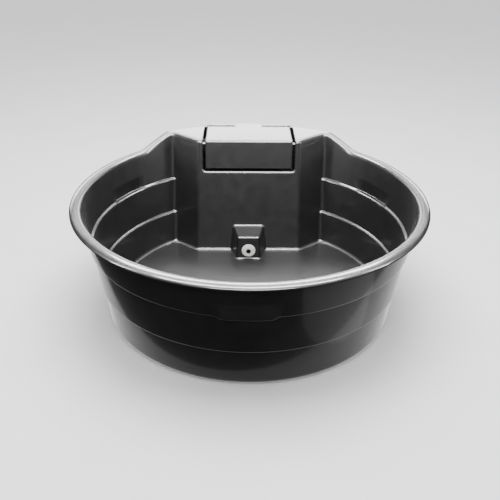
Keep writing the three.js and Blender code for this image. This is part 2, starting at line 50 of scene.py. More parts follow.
# The radius and the height at both ends of the wall's two steps.
STEPS = [(761.0, 207.0), (775.0, 214.0), (793.0, 409.0), (807.0, 416.0)]
LUG_FACE = (820.3, 410.0)  # the radius and the height of the foot of a lug's face
LUG_TOP = 478.0
WALL_AT_LUG_TOP = 816.1
RIM_EDGE = 835.3  # the radius at which the wall would meet the rim's flat top
RIM_RADIUS = 892.0
RIM_FLAT = 880.0
RIM_TOP = 610.0
RIM_CROWN = 4.0
RIM_FALL = 16.0
RIM_DROP = 19.0
POD_TOP = 680.0
POD_FRONT = (475.0, 583.0)  # at the floor and at the pod's top, as the half width
POD_HALF = (309.0, 293.0)
SPLAY = math.radians(39)
RAMP = (34.0, 45.5)  # the angles from the back between which the rim comes down from the pod
RAMP_FLARE = 9.0
CORNER_FILLET = 20.0
CHAMFER_FILLET = 32.0
LUG_ANGLES = (60.0, 180.0)
LUG_HALF = 7.5
LUG_FLARE = 2.0
LUG_REACH = 12.5
LUG_TWIST = math.radians(1.4)
TWIST_OUTSIDE = 710.0  # the radius outside which the wall and the rim turn with the lugs
TWIST_FROM, TWIST_OVER = 47.5, 2.9  # the angle from the back at which they start to, and its width
ARC_FROM = 50.0

CHAMBER_HALF = 268.0
CHAMBER_BACK = 835.0
CHAMBER_FLOOR = 500.0
CHAMBER_CORNER = 16.0
NOTCH_HALF = 80.0
NOTCH_FLOOR = 640.0
REST_X, REST_Y, REST_Z = (248.0, 270.0), (620.0, 650.0), (600.0, 644.7)
LIP_HALF, LIP_FRONT, LIP_REAR, LIP_HEIGHT = 256.0, 841.0, 859.0, 6.0
UNDER_FLOOR = 10.0  # how high the trough's floor stands off the ground, inside its foot

BLOCK_FRONT = 364.0
# The drain block's height, and its half width low down and at its top, at its front and back.
BLOCK_TOP = (163.0, 171.0)
BLOCK_LOW = (67.0, 104.0)
BLOCK_HIGH = (62.5, 87.5)
BLOCK_UNIT = 80.0  # the half width that the block is made with, before it is scaled to these
BLOCK_CORNER = 12.0

# The lines through the drain (x, z), the lid's hinge and the valve's barrel (y, z).
DRAIN = (0.0, 78.0)
HINGE = (866.0, 657.0)
LINE = (735.0, 618.0)

LEAN = (POD_FRONT[1] - POD_FRONT[0]) / (POD_TOP - FLOOR)
PANEL_UP = np.array([LEAN, 1.0]) / math.hypot(LEAN, 1)


def lerp(a, b, t):
    return a + (b - a) * t


def clamp(t):
    return min(1.0, max(0.0, t))


def point(*values):
    return np.array(values, float)


def rounding(start, edge, end, steps):
    """The points of a rounded corner from start to end, about the sharp corner at edge."""
    start, edge, end = (np.asarray(p, float) for p in (start, edge, end))
    first, last = start + 0.56 * (edge - start), end + 0.56 * (edge - end)
    out = []
    for t in np.linspace(0, 1, steps + 1):
        s = 1 - t
        out.append(s**3 * start + 3 * s * s * t * first + 3 * s * t * t * last + t**3 * end)
    return out


def rounded(points, radii, steps):
    """A polyline's inner corners, each rounded: the rounded points of each corner in turn."""
    made = []
    for i, (radius, count) in enumerate(zip(radii, steps), 1):
        before, here, after = (np.asarray(p, float) for p in points[i - 1 : i + 2])
        back = (before - here) / np.linalg.norm(before - here)
        on = (after - here) / np.linalg.norm(after - here)
        reach = radius / math.tan(math.acos(float(back @ on)) / 2)
        made.append(rounding(here + back * reach, here, here + on * reach, count))
    return made


def edited(mesh, action):
    """A mesh after an action on its bmesh."""
    bm = bmesh.new()
    bm.from_mesh(mesh)
    action(bm)
    bm.to_mesh(mesh)
    bm.free()
    return mesh


# ---- The trough's moulding ----
class Sheet:
    """Half of a mirrored surface, as loose faces that are welded into one mesh at the end."""

    def __init__(self):
        self.faces = []

    def face(self, *corners):
        if all(c is not None for c in corners):
            self.faces.append([tuple(float(v) for v in c) for c in corners])

    def grid(self, rows, leave=lambda r, c: False):
        for r in range(len(rows) - 1):
            for c in range(len(rows[r]) - 1):
                if not leave(r, c):
                    self.face(rows[r][c], rows[r][c + 1], rows[r + 1][c + 1], rows[r + 1][c])

    def mesh(self, name):
        """The half and its mirror image, welded. Corners that round to the same key are one, and
        the odd offset keeps the round dimensions away from where the rounding changes."""
        mirrored = [[(-x, y, z) for x, y, z in reversed(f)] for f in self.faces]
        index, places, faces = {}, [], []
        for corners in self.faces + mirrored:
            ids = []
            for corner in corners:
                key = tuple(round(v / 0.004 + 0.317) for v in corner)
                if key not in index:
                    index[key] = len(places)
                    places.append(corner)
                if index[key] not in ids:
                    ids.append(index[key])
            if len(ids) > 2:
                faces.append(ids)
        made = bpy.data.meshes.new(name)
        made.from_pydata([[v * MM for v in p] for p in places], [], faces)
        return edited(made, self.weld)

    def weld(self, bm):
        """Welds the seams, with the faces turned to the water."""
        bmesh.ops.remove_doubles(bm, verts=bm.verts, dist=0.02 * MM)
        bmesh.ops.recalc_face_normals(bm, faces=bm.faces)
        spot = Vector((0.3, 0, FLOOR * MM))
        floor = min(bm.faces, key=lambda f: (f.calc_center_median() - spot).length)
        if floor.normal.z < 0:
            bmesh.ops.reverse_faces(bm, faces=bm.faces)


def above_floor(z, edge, lean):
    """How far out the filleted wall is at a height, from where it meets the floor and its lean."""
    cosine = 1 / math.hypot(1, lean)
    middle = edge + lean * FLOOR_FILLET - FLOOR_FILLET / cosine
    tangent = FLOOR + FLOOR_FILLET * (1 - lean * cosine)
    if z >= tangent:
        return edge + lean * (z - FLOOR)
    return middle + math.sqrt(max(0.0, FLOOR_FILLET**2 - (z - FLOOR - FLOOR_FILLET) ** 2))


def panel(z):
    """Where the pod's front panel is at a height."""
    return above_floor(z, POD_FRONT[0], LEAN)


def ramp(angle):
    """How far up the ramp the rim is at an angle from the back, with its two bends eased."""
    t = (RAMP[1] - angle) / (RAMP[1] - RAMP[0])
    ease = 0.12
    if t < ease:
        return max(0.0, t + ease) ** 2 / (4 * ease)
    if t > 1 - ease:
        return 1 - max(0.0, 1 - t + ease) ** 2 / (4 * ease)
    return t


def lug_share(angle):
    """1 on a lug's flat face, 0 away from it, and in between on its flared sides."""
    away = min(abs(angle - at) for at in LUG_ANGLES)
    share = [clamp((LUG_HALF + LUG_FLARE - a) / LUG_FLARE) for a in (away - 0.3, away, away + 0.3)]
    return sum(share) / 3


def bent(angle, z):
    """Draws a column beside a lug towards the lug's face, all the way at the lug's top, so that
    the lug's side is a triangle."""
    side = min((angle - at for at in LUG_ANGLES), key=abs)
    away = abs(side)
    if not LUG_HALF < away < LUG_REACH:
        return angle
    up = clamp((z - LUG_FACE[1]) / (LUG_TOP - LUG_FACE[1]))
    wide = LUG_FLARE * lerp(lerp(1, 0.15, up), 1, clamp((z - LUG_TOP) / 80))
    if away < LUG_HALF + LUG_FLARE:
        moved = LUG_HALF + (away - LUG_HALF) * wide / LUG_FLARE
    else:
        t = (away - LUG_HALF - LUG_FLARE) / (LUG_REACH - LUG_HALF - LUG_FLARE)
        moved = lerp(LUG_HALF + wide, LUG_REACH, t)
    return angle + math.copysign(moved - away, side)


def wall_rows():
    """The round wall's rows from the floor up: (radius, height) off the lugs and on them."""
    lean = (STEPS[0][0] - FLOOR_EDGE) / (STEPS[0][1] - FLOOR)
    turn = math.pi / 2 - math.atan(lean)
    turns = [turn * j / FILLET_STEPS for j in range(FILLET_STEPS + 1)]
    low = [FLOOR + FLOOR_FILLET * (1 - math.cos(t)) for t in turns]
    low += [60, 85, 110, 135, BLOCK_SIDE_ROW, BLOCK_TOP_ROW]
    rows = [(above_floor(z, FLOOR_EDGE, lean), z) for z in low]
    top = (WALL_AT_LUG_TOP, LUG_TOP)
    plain = [(FLOOR_EDGE, FLOOR), *STEPS, top]
    lugged = [(FLOOR_EDGE, FLOOR), *STEPS[:3], LUG_FACE, top]
    both = []
    for line in (plain, lugged):
        one, two, three, four = rounded(line, [11, 3, 11, 3], [5, 3, 5, 3])
        middle = [lerp(point(*STEPS[1]), point(*STEPS[2]), t) for t in (0.25, 0.5, 0.75)]
        upper = lerp(point(*line[-2]), point(*top), 0.5)
        both.append([*rows, *one, *two, *middle, *three, *four, upper, top])
    return both


def plan(radius, z):
    """The half plan of the water's edge at a height, from the middle of the pod's front round to
    the front of the tub: the chamfer's two ends, its fillets, and the angle where the tub starts."""
    t = (z - FLOOR) / (POD_TOP - FLOOR)
    offset = lerp(*POD_FRONT, t) - panel(z)
    half = lerp(*POD_HALF, t) + offset * math.tan(SPLAY / 2)
    knee = point(half, panel(z))
    along = point(math.cos(SPLAY), math.sin(SPLAY))
    water = point(math.sin(SPLAY), -math.cos(SPLAY))
    start = knee + water * CORNER_FILLET
    b, c = float(start @ along), float(start @ start) - (radius - CORNER_FILLET) ** 2
    middle = start + along * (-b + math.sqrt(b * b - c))
    out = middle / np.linalg.norm(middle)
    reach = CHAMFER_FILLET * math.tan(SPLAY / 2)
    return {
        "knee": knee,
        "along": along,
        "water": water,
        "bend": (knee - point(reach, 0), knee + along * reach),
        "middle": middle,
        "out": out,
        "foot": middle - water * CORNER_FILLET,
        "angle": math.degrees(math.atan2(out[0], out[1])),
    }


# The front panel's columns, and those on which the drain block and the chamber end.
MARKS = [0, 14, 28, 42, 56, 70, 88, 120, 154, 188, 220, 252, 276]
BLOCK_AT, CHAMBER_AT = 88, 276
BLOCK_MARK, CHAMBER_MARK = MARKS.index(BLOCK_AT), MARKS.index(CHAMBER_AT)
BLOCK_JAMBS = (BLOCK_FRONT + BLOCK_CORNER, 395, 418, 439)
BAND = 11.0  # how far a pocket's rounded edge reaches
TURN_STEPS = 6  # the steps in a pocket's rounded corner


def block_half(y, z):
    """The drain block's half width."""
    low = lerp(*BLOCK_LOW, (y - BLOCK_FRONT) / (POD_FRONT[0] - BLOCK_FRONT))
    deep = (y - BLOCK_FRONT) / (BLOCK_BACK - BLOCK_FRONT)
    high = lerp(*BLOCK_HIGH, deep)
    return lerp(low, high, clamp((z - FLOOR) / (lerp(*BLOCK_TOP, deep) - FLOOR)))


BLOCK_BACK = POD_FRONT[0] + LEAN * (BLOCK_TOP[1] - FLOOR)
block_line = point(BLOCK_FRONT - BLOCK_BACK, BLOCK_TOP[0] - BLOCK_TOP[1])
block_line /= np.linalg.norm(block_line)
block_inside = point(-block_line[1], block_line[0])
BLOCK_SIDE_ROW = BLOCK_TOP[1] - PANEL_UP[1] * BLOCK_CORNER / abs(float(PANEL_UP @ block_inside))
BLOCK_TOP_ROW = BLOCK_TOP[1] + PANEL_UP[1] * BAND
SILL_ROW = CHAMBER_FLOOR - PANEL_UP[1] * BAND
JAMB_ROW = CHAMBER_FLOOR + CHAMBER_CORNER


def front_x(mark, z):
    """Where a column of the front panel is: low down the columns follow the drain block's width,
    and higher up the hinge notch's and the chamber's."""
    wide = block_half(panel(min(z, BLOCK_TOP[1])), min(z, BLOCK_TOP[1]))
    t = clamp((z - 200) / 50)
    if mark < BLOCK_AT:
        return mark * lerp(wide / BLOCK_UNIT, NOTCH_HALF / BLOCK_AT, t)
    edge = lerp(wide + BAND, NOTCH_HALF, t)
    inner = CHAMBER_HALF - CHAMBER_CORNER
    if mark < CHAMBER_AT:
        return lerp(edge, inner, (mark - BLOCK_AT) / (MARKS[-2] - BLOCK_AT))
    return CHAMBER_HALF + BAND


KNEE_STEPS, CHAMFER_STEPS, CORNER_STEPS, STRETCH_STEPS = 4, 8, 6, 16


def fixed_angles():
    """The angles of the tub's columns, closer together at the lugs' sides."""
    spread = (6.9, 7.2, 7.5, 7.8, 8.5, 9.2, 9.5, 9.8)
    near = [at + side * a for at in LUG_ANGLES for a in spread for side in (-1, 1)]
    near = [a for a in near if ARC_FROM + 1e-6 < a < 180]
    even = [a for a in np.arange(ARC_FROM + 2.5, 180, 2.5) if min(abs(a - n) for n in near) > 0.8]
    return sorted([*near, *even, 180.0])


def columns(radius, z):
    """The half plan at a height: for each column its (x, y), the way out of the water there, and
    its angle from the back where it is on the tub. radius gives the tub's radius at an angle."""
    at = plan(radius(0), z)
    found = [((front_x(m, z), at["knee"][1]), (0, 1), None) for m in MARKS]
    bend_from, bend_to = at["bend"]
    edge = front_x(CHAMBER_AT, z)
    for t in (0.4, 0.8):
        found.append(((lerp(edge, bend_from[0], t), at["knee"][1]), (0, 1), None))
    for i, p in enumerate(rounding(bend_from, at["knee"], bend_to, KNEE_STEPS)):
        turn = SPLAY * i / KNEE_STEPS
        found.append((tuple(p), (-math.sin(turn), math.cos(turn)), None))
    for i in range(1, CHAMFER_STEPS):
        found.append((tuple(lerp(bend_to, at["foot"], i / CHAMFER_STEPS)), tuple(-at["water"]), None))
    first, last = -at["water"], at["out"]
    swing = math.acos(float(first @ last))
    for i in range(CORNER_STEPS + 1):
        t = i / CORNER_STEPS
        way = (math.sin((1 - t) * swing) * first + math.sin(t * swing) * last) / math.sin(swing)
        found.append((tuple(at["middle"] + way * CORNER_FILLET), tuple(way), None))
    angles = [lerp(at["angle"], ARC_FROM, i / STRETCH_STEPS) for i in range(1, STRETCH_STEPS + 1)]
    for angle in angles + fixed_angles():
        turn = math.radians(bent(angle, z))
        way = (math.sin(turn), math.cos(turn))
        if angle == 180.0:
            way = (0.0, -1.0)
        r = radius(angle)
        found.append(((r * way[0], r * way[1]), way, angle))
    return found


TUB_COLUMN = len(MARKS) + 2 + KNEE_STEPS + CHAMFER_STEPS + CORNER_STEPS + 1
TOP_FILLET = (18.0, 21.0)
REAR_BAND = 5.0
TOP_DEPTHS = [640.0, 700.0, 760.0, CHAMBER_BACK - CHAMBER_CORNER, CHAMBER_BACK + REAR_BAND]
CHAMBER_REAR = point(CHAMBER_HALF - CHAMBER_CORNER, CHAMBER_BACK - CHAMBER_CORNER)
CHAMBER_REAR += (CHAMBER_CORNER + REAR_BAND) * math.sqrt(0.5)


def moulding_rows():
    """The water side of the moulding as rows of points, from the floor to the rim's lip."""
    plain, lugged = wall_rows()
    rows = []
    for (r0, z0), (r1, z1) in zip(plain, lugged):
        around = columns(lambda angle, r0=r0, r1=r1: lerp(r0, r1, lug_share(angle)), z0)
        rows.append([(*xy, z0 if a is None else lerp(z0, z1, lug_share(a))) for xy, _, a in around])
    crest = columns(lambda angle: RIM_EDGE + RAMP_FLARE * clamp(ramp(angle)), POD_TOP)
    risen = [1.0 if a is None else clamp(ramp(a)) for _, _, a in crest]
    tops = [lerp(RIM_TOP, POD_TOP, t) for t in risen]
    falls = [lerp(TOP_FILLET[1], TOP_FILLET[0], t) for t in risen]

    def level(heights):
        """A row whose height differs from column to column, on the wall and the panels."""
        row = []
        for i, height in enumerate(heights):
            t = (height - LUG_TOP) / (tops[i] - LUG_TOP)
            radius = lerp(WALL_AT_LUG_TOP, RIM_EDGE + RAMP_FLARE * risen[i], t)
            row.append((*columns(lambda angle, radius=radius: radius, height)[i][0], height))
        return row

    rows.append(level([SILL_ROW] * len(crest)))
    rows.append(level([JAMB_ROW] * len(crest)))
    for t in (0.25, 0.5, 0.75, 1.0):
        rows.append(level([lerp(JAMB_ROW, top - fall, t) for top, fall in zip(tops, falls)]))
    edges = []
    for i, (xy, way, _) in enumerate(crest):
        start = rows[-1][i]
        end = (xy[0] + way[0] * falls[i], xy[1] + way[1] * falls[i], tops[i])
        edges.append(rounding(start, (*xy, tops[i]), end, 6))
    rows += [[tuple(edge[k]) for edge in edges] for k in range(1, 7)]
    return rows, crest, tops


def top_rows(last, crest, tops):
    """The flat top of the rim and the pod from the inner fillet, then over the lip and down it."""
    count = len(crest)
    rims = []
    for i, (_, _, angle) in enumerate(crest):
        if i < CHAMBER_MARK:
            turn = math.asin(last[i][0] / RIM_FLAT)
        elif i == CHAMBER_MARK:
            turn = math.atan2(*CHAMBER_REAR)
        elif angle is None:
            first = math.atan2(*CHAMBER_REAR)
            tub = math.radians(crest[TUB_COLUMN][2])
            step = (tub - first) / (TUB_COLUMN - CHAMBER_MARK)
            turn = first + step * (i - CHAMBER_MARK)
        else:
            turn = math.radians(angle)
        rims.append((math.sin(turn), math.cos(turn)) if angle != 180.0 else (0.0, -1.0))
    even = [0.15, 0.3, 0.45, 0.6, 0.75, 0.9]
    near = last[CHAMBER_MARK][1]
    far = RIM_FLAT * rims[CHAMBER_MARK][1]
    shares = [(y - near) / (far - near) for y in TOP_DEPTHS[:4]] + [0.985, 0.993]
    rows = []
    for k in range(6):
        row = []
        for i in range(count):
            rim = point(rims[i][0] * RIM_FLAT, rims[i][1] * RIM_FLAT)
            start = point(*last[i][:2])
            if i < CHAMBER_MARK:
                back = TOP_DEPTHS[k] if k < 5 else lerp(TOP_DEPTHS[4], rim[1], 0.5)
                place = point(last[i][0], back)
            elif i == CHAMBER_MARK:
                if k < 4:
                    t = (TOP_DEPTHS[k] - near) / (TOP_DEPTHS[3] - near)
                    place = point(CHAMBER_HALF + lerp(BAND, REAR_BAND, t), TOP_DEPTHS[k])
                else:
                    place = CHAMBER_REAR if k == 4 else lerp(CHAMBER_REAR, rim, 0.5)
            else:
                t = clamp((i - CHAMBER_MARK) / (TUB_COLUMN - CHAMBER_MARK))
                place = lerp(start, rim, lerp(shares[k], even[k], t))
            row.append((place[0], place[1], tops[i]))
        rows.append(row)
    lips = []
    for i in range(count):
        x, y = rims[i]
        inner = math.hypot(*last[i][:2])
        crown = 0 if crest[i][2] is None else RIM_CROWN * (1 - clamp(ramp(crest[i][2])))
        for row in rows if crown else ():
            out = (math.hypot(*row[i][:2]) - inner) / (RIM_FLAT - inner)
            row[i] = (*row[i][:2], tops[i] - crown * out * out)
        start = (x * RIM_FLAT, y * RIM_FLAT, tops[i] - crown)
        dip = crown * (1 + 2 * (RIM_RADIUS - RIM_FLAT) / (RIM_FLAT - inner)) if crown else 0
        edge = (x * RIM_RADIUS, y * RIM_RADIUS, tops[i] - dip)
        end = (x * RIM_RADIUS, y * RIM_RADIUS, tops[i] - RIM_FALL)
        lips.append([*rounding(start, edge, end, 8), (end[0], end[1], tops[i] - RIM_DROP)])
    rows += [[tuple(lip[k]) for lip in lips] for k in range(len(lips[0]))]
    return rows


def pocket(sheet, half, xs, corner, bands, first, last, meet, jambs, place, notch=None):
    """A box-shaped hollow or block on the moulding, rounded everywhere, as a half. first and last
    are the (y, z) of its two cross edges with the way along the surface between them, meet is
    where the planes behind those edges meet, and jambs are the (y, z, band, way in) of its side
    edge. Returns the loop where it joins the surface."""
    (s0, t0), (s1, t1) = first, last
    e0, e1 = (meet - s0) / np.linalg.norm(meet - s0), (meet - s1) / np.linalg.norm(meet - s1)
    q0 = point(-e0[1], e0[0])
    q0 *= math.copysign(1, float(q0 @ (s1 - s0)))
    q1 = point(-e1[1], e1[0])
    q1 *= math.copysign(1, float(q1 @ (s0 - s1)))
    centre = meet + np.linalg.solve(np.array([q0, q1]), np.array([corner, corner]))
    turns = [math.pi / 2 * k / TURN_STEPS for k in range(TURN_STEPS + 1)]
    across = [(x, 0.0) for x in xs[:-1]] + [(xs[-1], b) for b in turns]
    n1 = (len(jambs) - 1) // 2
    n0 = len(jambs) - 1 - n1

    def edge_at(s, t, q, b):
        return s + t * corner * (1 - math.cos(b)) / float(t @ q)

    arc = math.acos(float(q0 @ q1))
    sheets, loop = [], []
    notch_row = None
    if notch is not None:
        low, high = centre[1], s1[1] - bands[1]
        notch_row = n0 + TURN_STEPS + round(n1 * (notch - low) / (high - low))
    for x, b in across:
        side = x + corner * math.sin(b)
        start = edge_at(s0, t0, q0, b) + bands[0] * e0
        end = edge_at(s1, t1, q1, b) + bands[1] * e1
        swept = []
        for k in range(TURN_STEPS + 1):
            g = k / TURN_STEPS
            way = (math.sin((1 - g) * arc) * -q0 + math.sin(g * arc) * -q1) / math.sin(arc)
            swept.append(centre + way * corner * math.cos(b))
        line = [lerp(start, swept[0], k / n0) for k in range(n0)]
        line += swept
        line += [lerp(swept[-1], end, k / n1) for k in range(1, n1 + 1)]
        if notch is not None:
            line[notch_row] = point(line[notch_row][0], notch)
        sheets.append([place(side, *p) for p in line])
    rows = [list(r) for r in zip(*sheets)]
    sheet.grid(rows, lambda r, c: notch is not None and r >= notch_row and c < BLOCK_MARK)

    def band(edge_x, yz, surface, inward, reach):
        """One section of the rounded edge, from the surface round to the pocket's own wall."""
        edge = place(edge_x, *yz)
        outer = edge + point(surface[0], *surface[1]) * reach
        inner = place(edge_x, *(yz + inward * reach))
        loop.append(outer)
        return rounding(outer, edge, inner, 5)

    def cross(x, b, s, t, q, inward, reach):
        surface = (math.sin(b), -t * math.cos(b))
        return band(x + corner * math.sin(b), edge_at(s, t, q, b), surface, inward, reach)

    sections = [cross(x, b, s0, t0, q0, e0, bands[0]) for x, b in across]
    for y, z, reach, inward in jambs[1:-1]:
        sections.append(band(half, point(y, z), (1.0, point(0, 0)), inward, reach))
    sections += [cross(x, b, s1, t1, q1, e1, bands[1]) for x, b in reversed(across)]
    total = len(sections)
    sheet.grid(
        [list(r) for r in zip(*sections)],
        lambda r, c: notch is not None and c >= total - 1 - BLOCK_MARK,
    )
    chain = [sections[i][-1] for i in range(len(across) - 1, len(across) + len(jambs) - 1)]
    corner_line = sheets[-1][: n0 + 1] + sheets[-1][n0 + TURN_STEPS + 1 :]
    sheet.grid([[lerp(a, b, k / 4) for k in range(5)] for a, b in zip(chain, corner_line)])
    return loop


def trough_sheet():
    """Half of the moulding's water side, with the valve chamber and the drain block."""
    sheet = Sheet()
    rows, crest, tops = moulding_rows()
    flat = top_rows(rows[-1], crest, tops)
    heights = [r[0][2] for r in rows]
    rows += flat
    side_row = heights.index(min(heights, key=lambda z: abs(z - BLOCK_SIDE_ROW)))
    block_row = heights.index(min(heights, key=lambda z: abs(z - BLOCK_TOP_ROW)))
    sill_row = heights.index(min(heights, key=lambda z: abs(z - SILL_ROW)))
    rear_row = len(rows) - len(flat) + TOP_DEPTHS.index(CHAMBER_BACK + REAR_BAND)

    def leave(r, c):
        in_block = c < BLOCK_MARK and r < block_row
        in_chamber = c < CHAMBER_MARK and sill_row <= r < rear_row
        in_notch = c < BLOCK_MARK and r >= rear_row
        at_rear = (r, c) in ((rear_row - 1, CHAMBER_MARK), (rear_row, CHAMBER_MARK - 1))
        return in_block or in_chamber or in_notch or at_rear

    sheet.grid(rows, leave)

    # The valve chamber, let into the pod's front and top.
    jambs = []
    for r in range(sill_row + 1, rear_row):
        x, y, z = rows[r][CHAMBER_MARK]
        up = rows[r + 1][CHAMBER_MARK] if r + 1 < rear_row else (x, y + 1, z)
        down = rows[r - 1][CHAMBER_MARK] if r > sill_row + 1 else (x, y - LEAN, z - 1)
        way = point(up[1] - down[1], up[2] - down[2])
        way /= np.linalg.norm(way)
        jambs.append((y, z, x - CHAMBER_HALF, point(way[1], -way[0])))
    xs = [front_x(m, CHAMBER_FLOOR) for m in MARKS[:CHAMBER_MARK]]
    front = (point(panel(CHAMBER_FLOOR), CHAMBER_FLOOR), PANEL_UP)
    rear = (point(CHAMBER_BACK, POD_TOP), point(-1.0, 0.0))
    meet, bands = point(CHAMBER_BACK, CHAMBER_FLOOR), (BAND, REAR_BAND)
    shape = (CHAMBER_HALF, xs, CHAMBER_CORNER, bands, front, rear, meet, jambs)
    loop = pocket(sheet, *shape, point, notch=NOTCH_FLOOR)
    corner = slice(len(xs) - 1, len(xs) + TURN_STEPS)
    fan(sheet, rows[sill_row][CHAMBER_MARK], loop[corner])
    arc = list(reversed(loop))[corner]
    before, here, after = rows[rear_row - 1], rows[rear_row], rows[rear_row + 1]
    i = CHAMBER_MARK
    sheet.face(*arc[3:], before[i + 1], here[i + 1])
    sheet.face(*arc[:4], after[i], after[i - 1])

    # The drain block, standing on the floor against the pod.
    jambs = [(y, FLOOR, BAND, point(0, 1)) for y in BLOCK_JAMBS]
    for r in range(side_row + 1):
        _, y, z = rows[r][BLOCK_MARK]
        turn = clamp((z - FLOOR) / FLOOR_FILLET)
        upright = math.pi / 2 - math.atan(LEAN)
        slope = min(math.acos(1 - turn), upright) if r <= FILLET_STEPS else upright
        jambs.append((y, z, BAND, point(-math.sin(slope), math.cos(slope))))
    xs = MARKS[:BLOCK_MARK]
    front = (point(BLOCK_FRONT, FLOOR), point(1.0, 0.0))
    rear = (point(BLOCK_BACK, BLOCK_TOP[1]), -PANEL_UP)
    meet, bands = point(BLOCK_FRONT, BLOCK_TOP[0]), (BAND, BAND)
    shape = (BLOCK_UNIT, xs, BLOCK_CORNER, bands, front, rear, meet, jambs)
    loop = pocket(sheet, *shape, lambda x, y, z: point(x * block_half(y, z) / BLOCK_UNIT, y, z))
    corner = slice(len(xs) - 1, len(xs) + TURN_STEPS)
    fan(sheet, rows[block_row][BLOCK_MARK], list(reversed(loop))[corner])

    # The floor, in rings that shrink towards its middle.
    border = loop[: len(xs) + TURN_STEPS + len(BLOCK_JAMBS) - 1]
    border += [point(*p) for p in rows[0][BLOCK_MARK:]]
    rings = [border]
    for scale in (0.965, 0.951, 0.85, 0.7, 0.5, 0.3, 0.12):
        rings.append([point(p[0] * scale, p[1] * scale, FLOOR) for p in border])
    sheet.grid(rings)
    sheet.face(*rings[-1])
    sheet.border = border
    return sheet


def fan(sheet, corner, arc):
    """The flat faces between a rounded corner of a pocket and the square corner round it."""
    for a, b in zip(arc, arc[1:]):
        sheet.face(corner, a, b)


# ---- Mesh tools ----
def new_object(name, mesh):
    obj = bpy.data.objects.new(name, mesh)
    bpy.context.scene.collection.objects.link(obj)
    return obj


def settle(obj):
    """Turns an object's modifiers into its mesh."""
    bpy.context.view_layer.update()
    depsgraph = bpy.context.evaluated_depsgraph_get()
    made = bpy.data.meshes.new_from_object(obj.evaluated_get(depsgraph))
    obj.modifiers.clear()
    obj.data = made
    return obj


def combine(obj, tool, operation):
    """Adds a tool's solid to an object's, or cuts it out, and removes the tool."""
    modifier = obj.modifiers.new("combine", "BOOLEAN")
    modifier.operation = operation
    modifier.solver = "MANIFOLD"
    modifier.object = tool
    settle(obj)
    bpy.data.objects.remove(tool)
    return obj


def add(obj, tool):
    return combine(obj, tool, "UNION")


def cut(obj, tool):
    return combine(obj, tool, "DIFFERENCE")


def mesh_of(name, places, faces):
    made = bpy.data.meshes.new(name)
    made.from_pydata([[float(v) * MM for v in p] for p in places], [], faces)
    return edited(made, lambda bm: bmesh.ops.recalc_face_normals(bm, faces=bm.faces))


def prism(name, outline, low, high):
    """A solid with the same outline at both heights."""
    count = len(outline)
    places = [(x, y, z) for z in (low, high) for x, y in outline]
    sides = [(i, (i + 1) % count, count + (i + 1) % count, count + i) for i in range(count)]
    return new_object(name, mesh_of(name, places, [*sides, range(count), range(count, 2 * count)]))


def brick(name, x0, x1, y0, y1, z0, z1, bevel=0.0, segments=3):
    outline = [(x0, y0), (x1, y0), (x1, y1), (x0, y1)]
    obj = prism(name, outline, z0, z1)
    if bevel:
        soften(obj, bevel, segments)
        settle(obj)
    return obj


def soften(obj, width, segments=3, angle=40):
    """Rounds an object's sharp edges."""
    modifier = obj.modifiers.new("soften", "BEVEL")
    modifier.width = width * MM
    modifier.segments = segments
    modifier.limit_method = "ANGLE"
    modifier.angle_limit = math.radians(angle)
    modifier.use_clamp_overlap = True
    modifier.harden_normals = False
    return obj


def smooth(obj, weighted=True):
    """Smooth shading, in which the flat faces stay flat."""
    obj.data.shade_smooth()
    if weighted:
        modifier = obj.modifiers.new("flat faces", "WEIGHTED_NORMAL")
        modifier.mode = "FACE_AREA"
        modifier.weight = 60
    return obj


AXES = {
    "x": lambda r, a, t, u, v: (a, u + r * math.cos(t), v + r * math.sin(t)),
    "y": lambda r, a, t, u, v: (u + r * math.cos(t), a, v + r * math.sin(t)),
    "z": lambda r, a, t, u, v: (u + r * math.cos(t), v + r * math.sin(t), a),
}


def turned(name, axis, profile, u, v, around=64, ring=False, shape=None, phase=0.0):
    """A solid of revolution about a line through (u, v), from a profile of (radius, place along
    the axis), closed with flat ends or a ring. shape(r, a, share of a turn) changes a radius."""
    places, faces = [], []
    rows = len(profile)
    for r, a in profile:
        for k in range(around):
            t = 2 * math.pi * k / around + phase
            reach = shape(r, a, k / around) if shape else r
            places.append(AXES[axis](reach, a, t, u, v))
    for i in range(rows if ring else rows - 1):
        j = (i + 1) % rows
        for k in range(around):
            m = (k + 1) % around
            faces.append((i * around + k, i * around + m, j * around + m, j * around + k))
    if not ring:
        faces.append(range(around))
        faces.append(range((rows - 1) * around, rows * around))
    obj = new_object(name, mesh_of(name, places, faces))
    edited(obj.data, lambda bm: bmesh.ops.remove_doubles(bm, verts=bm.verts, dist=0.001 * MM))
    return obj


def soft_profile(points, radii, steps=4, ring=False):
    """A profile whose corners are rounded by the radii given for them; 0 leaves a corner sharp."""
    count = len(points)
    out = []
    for i, radius in enumerate(radii):
        here = np.asarray(points[i], float)
        if not radius or (not ring and i in (0, count - 1)):
            out.append(tuple(here))
            continue
        before = np.asarray(points[i - 1], float)
        after = np.asarray(points[(i + 1) % count], float)
        back, on = before - here, after - here
        reach = min(radius, 0.49 * np.linalg.norm(back), 0.49 * np.linalg.norm(on))
        start = here + back / np.linalg.norm(back) * reach
        end = here + on / np.linalg.norm(on) * reach
        out += [tuple(p) for p in rounding(start, here, end, steps)]
    return out


def rod(name, axis, radius, start, end, near, far, u, v, around):
    """A solid cylinder whose two edges are rounded by near and far."""
    profile = [(0, start), (radius, start), (radius, end), (0, end)]
    return turned(name, axis, soft_profile(profile, [0, near, far, 0]), u, v, around)


def drill(obj, axis, radius, start, end, u, v, around, phase=0.0):
    tool = turned("drill", axis, [(radius, start), (radius, end)], u, v, around, phase=phase)
    return cut(obj, tool)


def fine(profile, step):
    """A profile with extra points, so that no stretch is longer than step."""
    out = [profile[0]]
    for a, b in zip(profile, profile[1:]):
        count = max(1, math.ceil(math.dist(a, b) / step))
        a, b = point(*a), point(*b)
        out += [tuple(lerp(a, b, k / count)) for k in range(1, count + 1)]
    return out


